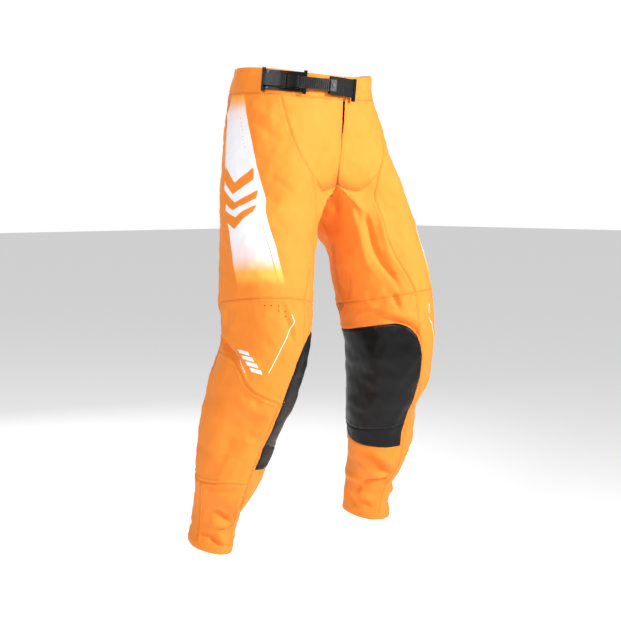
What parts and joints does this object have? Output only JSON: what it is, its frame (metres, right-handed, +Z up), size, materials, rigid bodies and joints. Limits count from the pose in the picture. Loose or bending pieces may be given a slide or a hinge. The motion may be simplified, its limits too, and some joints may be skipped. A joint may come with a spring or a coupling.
{
  "type": "off-road riding trousers",
  "caption": "Off-road motorcycle riding trousers with leather inner knee guards, a pre-bent leg, a fly zip and a ratchet buckle with a ladder strap at the waist.",
  "frame": {"origin": "middle of the waist opening, level with the top edge of the waistband", "axes": "+Z up along the standing wearer, the front towards -Y, the wearer's left towards +X"},
  "size_m": [0.5382, 0.3209, 0.959],
  "materials": {
    "orange_cloth": "woven polyester, bright orange with a fading white print on the thighs",
    "stretch_cloth": "ribbed stretch cloth, orange",
    "leather": "grained black leather, slight sheen",
    "black_plastic": "glossy black moulding",
    "grey_plastic": "dark grey moulding, half matt",
    "steel": "black-coated steel",
    "black_cloth": "black woven tape and lining"
  },
  "bodies": {
    "garment": {"buckle_base": "black_plastic", "buckle_rivet_1": "steel", "buckle_rivet_2": "steel", "buckle_rivet_3": "steel", "buckle_rivet_4": "steel", "calf_back_panel_left": "orange_cloth", "calf_back_panel_right": "orange_cloth", "calf_panel_left": "orange_cloth", "calf_panel_right": "orange_cloth", "cuff_hem_left": "orange_cloth", "cuff_hem_right": "orange_cloth", "fly_shield": "black_cloth", "front_panel_left": "orange_cloth", "front_panel_right": "orange_cloth", "inner_thigh_panel_left": "orange_cloth", "inner_thigh_panel_right": "orange_cloth", "knee_guard_foot_left": "leather", "knee_guard_foot_right": "leather", "knee_guard_leather_left": "leather", "knee_guard_leather_right": "leather", "knee_panel_left": "orange_cloth", "knee_panel_right": "orange_cloth", "lever_pin": "steel", "lower_leg_inner_left": "orange_cloth", "lower_leg_inner_right": "orange_cloth", "lower_leg_outer_left": "orange_cloth", "lower_leg_outer_right": "orange_cloth", "rear_thigh_panel_left": "orange_cloth", "rear_thigh_panel_right": "orange_cloth", "release_pin": "steel", "seat_panel_left": "orange_cloth", "seat_panel_right": "orange_cloth", "shin_strip_left": "orange_cloth", "shin_strip_right": "orange_cloth", "side_thigh_panel_left": "orange_cloth", "side_thigh_panel_right": "orange_cloth", "stretch_knee_back_left": "stretch_cloth", "stretch_knee_back_right": "stretch_cloth", "stretch_yoke_left": "stretch_cloth", "stretch_yoke_right": "stretch_cloth", "waistband_back": "orange_cloth", "waistband_front_left": "orange_cloth", "waistband_front_right": "orange_cloth", "zip_stop": "steel", "zip_tape_left": "black_cloth", "zip_tape_right": "black_cloth", "zip_teeth_left": "black_plastic", "zip_teeth_right": "black_plastic"},
    "strap": {"ladder_strap": "grey_plastic", "strap_tab": "black_plastic", "clamp_plate": "grey_plastic", "clamp_screw": "steel"},
    "lever": {"ratchet_lever": "black_plastic"},
    "pawl": {"drive_pawl": "grey_plastic"},
    "release": {"release_lever": "black_plastic"},
    "slider": {"zip_slider": "black_plastic"},
    "puller": {"zip_puller": "black_plastic"}
  },
  "joints": [
    {"name": "ladder_travel", "type": "hinge", "parent": "garment", "child": "strap", "pos_m": [-0.0014, 0.0443, -0.0251], "axis": [0.0638, -0.0508, 0.9967], "range_deg": [-1.4, 7.2]},
    {"name": "lever_swing", "type": "hinge", "parent": "garment", "child": "lever", "pos_m": [-0.12392, -0.08947, -0.02408], "axis": [0.0638, -0.0508, 0.9967], "range_deg": [0, 75], "stiffness_Nm_per_rad": 0.02, "springref_deg": -28.65},
    {"name": "pawl_pivot", "type": "hinge", "parent": "lever", "child": "pawl", "pos_m": [-0.13383, -0.0776, -0.02284], "axis": [0.0638, -0.0508, 0.9967], "range_deg": [-8, 0], "stiffness_Nm_per_rad": 0.004, "springref_deg": 11.46},
    {"name": "release_swing", "type": "hinge", "parent": "garment", "child": "release", "pos_m": [-0.10444, -0.10499, -0.02612], "axis": [0.0638, -0.0508, 0.9967], "range_deg": [0, 14], "stiffness_Nm_per_rad": 0.01, "springref_deg": -17.19},
    {"name": "slider_travel", "type": "slide", "parent": "garment", "child": "slider", "axis": [0, 0.0882, -0.9961], "range_m": [0, 0.1]},
    {"name": "puller_swing", "type": "hinge", "parent": "slider", "child": "puller", "pos_m": [0, -0.11614, -0.07365], "axis": [1, 0, 0], "range_deg": [-2, 5]}
  ]
}
